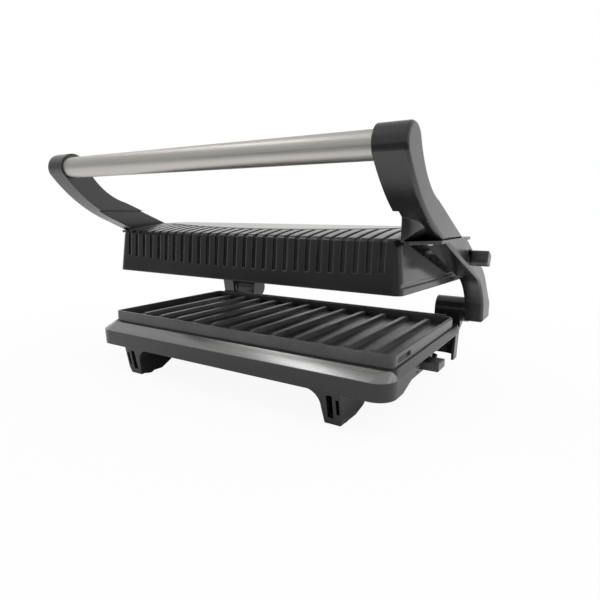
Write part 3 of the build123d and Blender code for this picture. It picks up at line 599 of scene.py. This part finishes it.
class PRESS_OT_top_panel(bpy.types.Operator):
    """Brush the steel sheet on the lid"""
    bl_idname = "press.top_panel"
    bl_label = "Top Panel"

    def execute(self, context):
        steel = brushed_steel("Brushed panel steel", context.scene.press_finish.panel, lines=2000.0,
                              anisotropy=0.3, coarser=0.12)
        dress(("top_panel",), steel)
        return {"FINISHED"}


def zinc_plate():
    if "Zinc plated steel" in bpy.data.materials:
        return bpy.data.materials["Zinc plated steel"]
    return plain_metal("Zinc plated steel", (0.55, 0.55, 0.54), (0.78, 0.78, 0.77), roughness=0.24, scale=120.0)


class PRESS_OT_cross_screws(bpy.types.Operator):
    """Make the rounded cross-recess screws under the arms and under the base"""
    bl_idname = "press.cross_screws"
    bl_label = "Cross-Recess Screws"

    def execute(self, context):
        settings = context.scene.press_handle
        first, last = (Vector(corner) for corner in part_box("arm_screws"))
        reach = (last.y - first.y) / 2
        for name, node, body, columns in (("arm_screw_heads", "arm_screws", "arms", 2),
                                          ("cover_screw_heads", "cover_screws", "base", 3)):
            low, high = (Vector(corner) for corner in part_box(node))
            shape = bmesh.new()
            for column in range(columns):
                x = low.x + reach + (high.x - low.x - 2 * reach) * column / (columns - 1)
                for y in sorted({low.y + reach, high.y - reach}):
                    self.screw(shape, settings, Vector((x, y, low.z)), high.z - low.z, reach)
            finish_piece(shape, name, zinc_plate(), body, node, SCREW_SMOOTH_ANGLE)
        return {"FINISHED"}

    def screw(self, shape, settings, foot, length, reach):
        """One screw with its head down at foot; the driver recess is sunk into the head."""
        shank, head = settings.screw_shank, settings.screw_head
        rim, tip, slot, sink = 0.62 * reach, 0.0006, 0.3, 0.55
        rings = [(0.0, length), (shank * 0.7, length), (shank, length - tip), (shank, head),
                 (reach * 0.97, head), (reach, head * 0.9), (reach, head * 0.6), (reach * 0.9, head * 0.25),
                 (rim, 0.0)]
        points = [foot + Vector((radius, 0.0, height)) for radius, height in rings]
        turn_profile(shape, points, foot, (0, 0, 1), SCREW_SIDES)
        bmesh.ops.remove_doubles(shape, verts=shape.verts, dist=MERGE_DISTANCE)
        ring = [edge for edge in shape.edges if edge.is_boundary and
                all((vert.co - foot).length < rim * 1.01 for vert in edge.verts)]
        arm, half = settings.cross, settings.cross * slot
        plus = [(arm, -half), (arm, half), (half, half), (half, arm), (-half, arm), (-half, half),
                (-arm, half), (-arm, -half), (-half, -half), (-half, -arm), (half, -arm), (half, -half)]
        corners = [shape.verts.new(foot + Vector((across, along, 0.0))) for across, along in plus]
        recess = shape.faces.new(corners)
        bmesh.ops.bridge_loops(shape, edges=ring + list(recess.edges))
        sunk = bmesh.ops.extrude_discrete_faces(shape, faces=[recess])["faces"][0]
        bmesh.ops.translate(shape, verts=sunk.verts, vec=(0.0, 0.0, head * sink))
        bmesh.ops.scale(shape, verts=sunk.verts, vec=(0.6, 0.6, 1.0), space=Matrix.Translation(-foot))


class PRESS_OT_fasteners(bpy.types.Operator):
    """Give pins and hidden screws their bright plated steel"""
    bl_idname = "press.fasteners"
    bl_label = "Pins and Hidden Screws"

    def execute(self, context):
        dress(PINS_AND_SCREWS, zinc_plate())
        return {"FINISHED"}


class PRESS_OT_heating_parts(bpy.types.Operator):
    """Finish the elements, reflectors, thermostats, fuse and terminals"""
    bl_idname = "press.heating_parts"
    bl_label = "Heating Parts"

    def execute(self, context):
        sheath = plain_metal("Heat-tinted sheath", (0.2, 0.17, 0.14), (0.36, 0.32, 0.27), roughness=0.42,
                             scale=70.0)
        dress(SHEATHED_PARTS, sheath)
        bright = plain_metal("Rolled reflector sheet", (0.62, 0.62, 0.63), (0.8, 0.8, 0.81), roughness=0.3,
                             scale=30.0)
        dress(("lower_heat_reflector", "upper_heat_reflector"), bright)
        pale = soft_solid("Heat-proof moulding", (0.55, 0.5, 0.42), (0.68, 0.64, 0.56), roughness=0.55,
                          grain=900.0)
        dress(("terminal_block",), pale)
        return {"FINISHED"}


class PRESS_OT_rubber_feet(bpy.types.Operator):
    """Finish the rubber feet"""
    bl_idname = "press.rubber_feet"
    bl_label = "Rubber Feet"

    def execute(self, context):
        rubber = soft_solid("Foot rubber", (0.018, 0.018, 0.018), (0.04, 0.04, 0.04), roughness=0.75,
                            grain=1100.0)
        dress(("foot_pads",), rubber)
        return {"FINISHED"}


class PRESS_OT_pilot_lights(bpy.types.Operator):
    """Finish the two pilot lights on the lid"""
    bl_idname = "press.pilot_lights"
    bl_label = "Pilot Lights"

    def execute(self, context):
        dress(("power_light",), lamp_lens("Red lens", (0.28, 0.012, 0.01), (0.5, 0.03, 0.02)))
        dress(("ready_light",), lamp_lens("Green lens", (0.015, 0.18, 0.04), (0.03, 0.36, 0.08)))
        return {"FINISHED"}


def soft_light(name, place, size, power, mirrored):
    """Area light; mirrored says whether glossy surfaces show it."""
    data = bpy.data.lights.new(name, "AREA")
    data.shape = "RECTANGLE"
    data.size, data.size_y = size
    data.energy = power
    lamp = bpy.data.objects.new(name, data)
    lamp.location = place
    lamp.visible_glossy = mirrored
    lamp.rotation_euler = (Vector(LIGHT_TARGET) - Vector(place)).to_track_quat("-Z", "Y").to_euler()
    bpy.context.scene.collection.objects.link(lamp)


def seen_directly(tree, paths):
    """1 for what the camera sees straight or through glass."""
    return maths(tree, "MAXIMUM", paths["Is Camera Ray"], paths["Is Transmission Ray"])


class PRESS_OT_stage(bpy.types.Operator):
    """Set up floor, light, sky and camera"""
    bl_idname = "press.stage"
    bl_label = "Studio"

    def execute(self, context):
        settings = context.scene.press_stage
        self.floor(settings)
        self.sky(settings)
        for name, place, size, power, mirrored in LIGHTS:
            soft_light(name, place, size, getattr(settings, power), mirrored)
        self.camera(settings)
        context.scene.view_settings.view_transform = "Standard"
        return {"FINISHED"}

    def floor(self, settings):
        """Pale floor that looks white, and in reflections dims ahead of the press."""
        shape = bmesh.new()
        bmesh.ops.create_grid(shape, x_segments=1, y_segments=1, size=FLOOR_HALF)
        mesh = bpy.data.meshes.new("studio_floor")
        shape.to_mesh(mesh)
        shape.free()
        floor = bpy.data.objects.new("studio_floor", mesh)
        bpy.context.scene.collection.objects.link(floor)
        material, tree, shader = start_material("Pale floor")
        place = object_place(tree)
        mottle = noise(tree, place, 3.0)
        put(tree, shader.inputs["Base Color"], shades(tree, mottle, settings.floor, 0.99, 1.01))
        shader.inputs["Roughness"].default_value = 0.9
        shader.inputs["Specular IOR Level"].default_value = 0.1
        length = add(tree, "ShaderNodeVectorMath", operation="LENGTH")
        put(tree, length.inputs[0], place)
        away = length.outputs["Value"]
        white = remap(tree, away, settings.shadow_near, settings.shadow_far, FLOOR_WHITE_NEAR, 1.0)
        clear = remap(tree, away, settings.mirror_near, settings.mirror_far, 0.0, 1.0)
        spot = add(tree, "ShaderNodeSeparateXYZ", vector=place).outputs
        ahead = maths(tree, "SUBTRACT", maths(tree, "MULTIPLY", spot["X"], DIM_SLANT), spot["Y"])
        paths = tree.nodes.new("ShaderNodeLightPath").outputs
        mirrored = paths["Is Glossy Ray"]
        dim = maths(tree, "MULTIPLY", remap(tree, ahead, DIM_START, DIM_END, 0.0, settings.dim_floor), mirrored)
        glow = add(tree, "ShaderNodeEmission", color=WHITE, strength=maths(tree, "SUBTRACT", 1.0, dim))
        direct = maths(tree, "MULTIPLY", seen_directly(tree, paths), white)
        glossy = maths(tree, "MULTIPLY", mirrored, maths(tree, "MAXIMUM", clear, dim))
        shown = maths(tree, "MAXIMUM", direct, glossy)
        surface = mix_shaders(tree, shown, shader.outputs[0], glow.outputs[0])
        put(tree, tree.nodes["Material Output"].inputs["Surface"], surface)
        mesh.materials.append(material)

    def sky(self, settings):
        """Even light all round; reflections show walls, a dimmer one in front, and a ceiling."""
        world = bpy.data.worlds.new("Studio sky")
        world.use_nodes = True
        bpy.context.scene.world = world
        tree = world.node_tree
        even = tree.nodes["Background"]
        even.inputs["Color"].default_value = WHITE
        even.inputs["Strength"].default_value = settings.sky
        paths = tree.nodes.new("ShaderNodeLightPath").outputs
        towards = tree.nodes.new("ShaderNodeTexCoord").outputs["Generated"]
        aim = add(tree, "ShaderNodeSeparateXYZ", vector=towards).outputs
        front = maths(tree, "MULTIPLY", remap(tree, aim["Y"], FRONT_WALL, 0.0, 1.0, 0.0), settings.dim_wall)
        top = settings.wall_top
        high = remap(tree, aim["Z"], top - WALL_BLEND, top + WALL_BLEND, 0.0, 1.0)
        walls = maths(tree, "MULTIPLY", maths(tree, "SUBTRACT", 1.0, front), maths(tree, "SUBTRACT", 1.0, high))
        reflected = maths(tree, "ADD", maths(tree, "MULTIPLY", high, settings.ceiling), walls)
        mirrored = add(tree, "ShaderNodeBackground", color=WHITE, strength=reflected)
        white = add(tree, "ShaderNodeBackground", color=WHITE, strength=1.0)
        lit = mix_shaders(tree, paths["Is Glossy Ray"], even.outputs[0], mirrored.outputs[0])
        shown = mix_shaders(tree, seen_directly(tree, paths), lit, white.outputs[0])
        put(tree, tree.nodes["World Output"].inputs["Surface"], shown)

    def camera(self, settings):
        """Camera at the photo's place, turned, dipped and rolled as there."""
        data = bpy.data.cameras.new("Photo camera")
        data.sensor_width = 36.0
        data.lens = settings.lens
        data.clip_start = 0.01
        camera = bpy.data.objects.new("Photo camera", data)
        turn, dip, roll = settings.turn, settings.dip, settings.roll
        ahead = Vector((-math.sin(turn) * math.cos(dip), math.cos(turn) * math.cos(dip), -math.sin(dip)))
        right = ahead.cross(Vector((0, 0, 1))).normalized()
        up = right.cross(ahead)
        rolled_right = right * math.cos(roll) + up * math.sin(roll)
        rolled_up = up * math.cos(roll) - right * math.sin(roll)
        axes = Matrix((rolled_right, rolled_up, -ahead)).transposed().to_4x4()
        camera.matrix_world = Matrix.Translation(Vector(settings.camera)) @ axes
        bpy.context.scene.collection.objects.link(camera)
        bpy.context.scene.camera = camera


class PRESS_PT_panel(bpy.types.Panel):
    """Sidebar panel with the press's pieces"""
    bl_idname = "PRESS_PT_panel"
    bl_label = "Panini Press"
    bl_space_type = "VIEW_3D"
    bl_region_type = "UI"
    bl_category = "Press"

    def draw(self, context):
        for group in (context.scene.press_finish, context.scene.press_handle, context.scene.press_stage):
            column = self.layout.box().column()
            for name in group.bl_rna.properties.keys():
                if name not in ("rna_type", "name"):
                    column.prop(group, name)
        for operator in OPERATORS:
            self.layout.operator(operator.bl_idname)


OPERATORS = (PRESS_OT_mouldings, PRESS_OT_grill_plates, PRESS_OT_handle_bar, PRESS_OT_top_panel,
             PRESS_OT_fasteners, PRESS_OT_cross_screws, PRESS_OT_heating_parts, PRESS_OT_rubber_feet,
             PRESS_OT_pilot_lights, PRESS_OT_stage)
CLASSES = (PressFinish, PressHandle, PressStage) + OPERATORS + (PRESS_PT_panel,)


def register():
    for item in CLASSES:
        bpy.utils.register_class(item)
    bpy.types.Scene.press_finish = bpy.props.PointerProperty(type=PressFinish)
    bpy.types.Scene.press_handle = bpy.props.PointerProperty(type=PressHandle)
    bpy.types.Scene.press_stage = bpy.props.PointerProperty(type=PressStage)


def unregister():
    del bpy.types.Scene.press_finish
    del bpy.types.Scene.press_handle
    del bpy.types.Scene.press_stage
    for item in reversed(CLASSES):
        bpy.utils.unregister_class(item)


def main():
    register()
    for operator in OPERATORS:
        family, name = operator.bl_idname.split(".")
        getattr(getattr(bpy.ops, family), name)()


if __name__ == "__main__":
    main()
